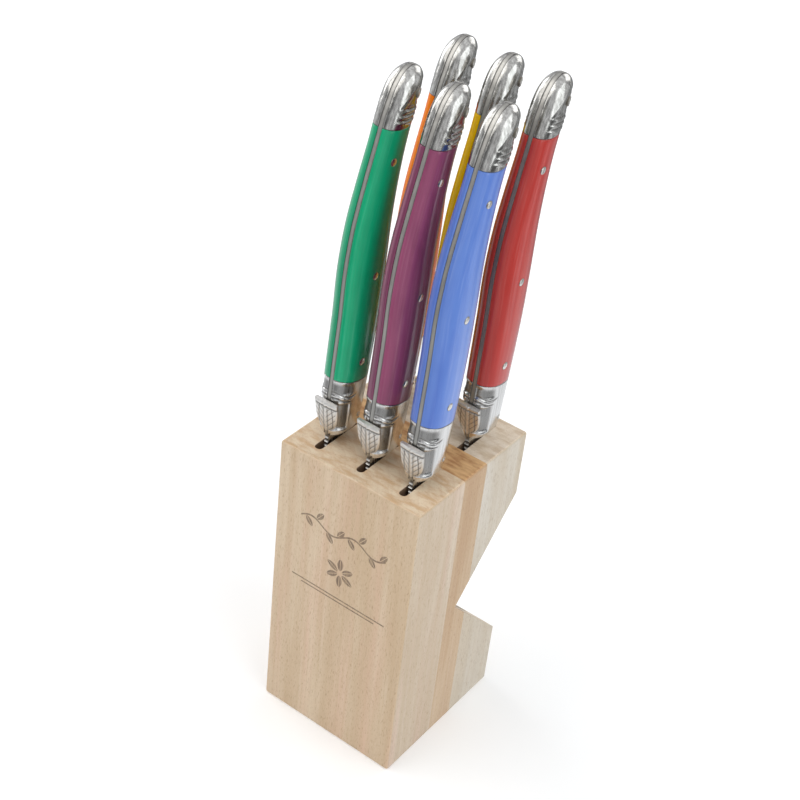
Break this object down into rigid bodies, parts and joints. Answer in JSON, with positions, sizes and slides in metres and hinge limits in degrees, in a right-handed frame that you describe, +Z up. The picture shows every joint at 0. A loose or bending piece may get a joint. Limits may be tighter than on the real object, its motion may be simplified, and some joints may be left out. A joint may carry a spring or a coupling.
{
  "type": "knife block with table knives",
  "caption": "Small upright laminated beech block with a V notch in its back, holding table knives with curved, brightly coloured scales and polished steel bolsters and butt caps.",
  "frame": {"origin": "centre of the block's base, on the surface it stands on", "axes": "+X to the right across the three columns of knives, +Y to the back, the notched side, +Z up along the knives"},
  "size_m": [0.0542, 0.0643, 0.2322],
  "materials": {
    "pale_wood": "sanded bare beech, sealed",
    "core_wood": "sanded bare beech, more orange, sealed",
    "blade_steel": "satin stainless steel",
    "polished_steel": "polished stainless steel",
    "green_scale": "pearly glossy green acrylic",
    "purple_scale": "pearly glossy plum acrylic",
    "blue_scale": "pearly glossy blue acrylic",
    "orange_scale": "pearly glossy orange acrylic",
    "yellow_scale": "pearly glossy yellow acrylic",
    "red_scale": "pearly glossy red acrylic"
  },
  "bodies": {
    "block": {"front_board": "pale_wood", "middle_board": "core_wood", "back_board_upper": "pale_wood", "back_board_lower": "pale_wood"},
    "green_knife": {"green_blade": "blade_steel", "green_thumb_plate": "polished_steel", "green_front_bolster_left": "polished_steel", "green_front_bolster_right": "polished_steel", "green_scale_left": "green_scale", "green_scale_right": "green_scale", "green_butt_cap_left": "polished_steel", "green_butt_cap_right": "polished_steel", "green_rivets": "polished_steel"},
    "purple_knife": {"purple_blade": "blade_steel", "purple_thumb_plate": "polished_steel", "purple_front_bolster_left": "polished_steel", "purple_front_bolster_right": "polished_steel", "purple_scale_left": "purple_scale", "purple_scale_right": "purple_scale", "purple_butt_cap_left": "polished_steel", "purple_butt_cap_right": "polished_steel", "purple_rivets": "polished_steel"},
    "blue_knife": {"blue_blade": "blade_steel", "blue_thumb_plate": "polished_steel", "blue_front_bolster_left": "polished_steel", "blue_front_bolster_right": "polished_steel", "blue_scale_left": "blue_scale", "blue_scale_right": "blue_scale", "blue_butt_cap_left": "polished_steel", "blue_butt_cap_right": "polished_steel", "blue_rivets": "polished_steel"},
    "orange_knife": {"orange_blade": "blade_steel", "orange_thumb_plate": "polished_steel", "orange_front_bolster_left": "polished_steel", "orange_front_bolster_right": "polished_steel", "orange_scale_left": "orange_scale", "orange_scale_right": "orange_scale", "orange_butt_cap_left": "polished_steel", "orange_butt_cap_right": "polished_steel", "orange_rivets": "polished_steel"},
    "yellow_knife": {"yellow_blade": "blade_steel", "yellow_thumb_plate": "polished_steel", "yellow_front_bolster_left": "polished_steel", "yellow_front_bolster_right": "polished_steel", "yellow_scale_left": "yellow_scale", "yellow_scale_right": "yellow_scale", "yellow_butt_cap_left": "polished_steel", "yellow_butt_cap_right": "polished_steel", "yellow_rivets": "polished_steel"},
    "red_knife": {"red_blade": "blade_steel", "red_thumb_plate": "polished_steel", "red_front_bolster_left": "polished_steel", "red_front_bolster_right": "polished_steel", "red_scale_left": "red_scale", "red_scale_right": "red_scale", "red_butt_cap_left": "polished_steel", "red_butt_cap_right": "polished_steel", "red_rivets": "polished_steel"}
  },
  "joints": [
    {"name": "green_draw", "type": "slide", "parent": "block", "child": "green_knife", "axis": [0, 0, 1], "range_m": [0, 0.115]},
    {"name": "purple_draw", "type": "slide", "parent": "block", "child": "purple_knife", "axis": [0, 0, 1], "range_m": [0, 0.115]},
    {"name": "blue_draw", "type": "slide", "parent": "block", "child": "blue_knife", "axis": [0, 0, 1], "range_m": [0, 0.115]},
    {"name": "orange_draw", "type": "slide", "parent": "block", "child": "orange_knife", "axis": [0, 0.0209, 0.9998], "range_m": [0, 0.115]},
    {"name": "yellow_draw", "type": "slide", "parent": "block", "child": "yellow_knife", "axis": [0, 0.0209, 0.9998], "range_m": [0, 0.115]},
    {"name": "red_draw", "type": "slide", "parent": "block", "child": "red_knife", "axis": [0, 0.0209, 0.9998], "range_m": [0, 0.115]}
  ]
}
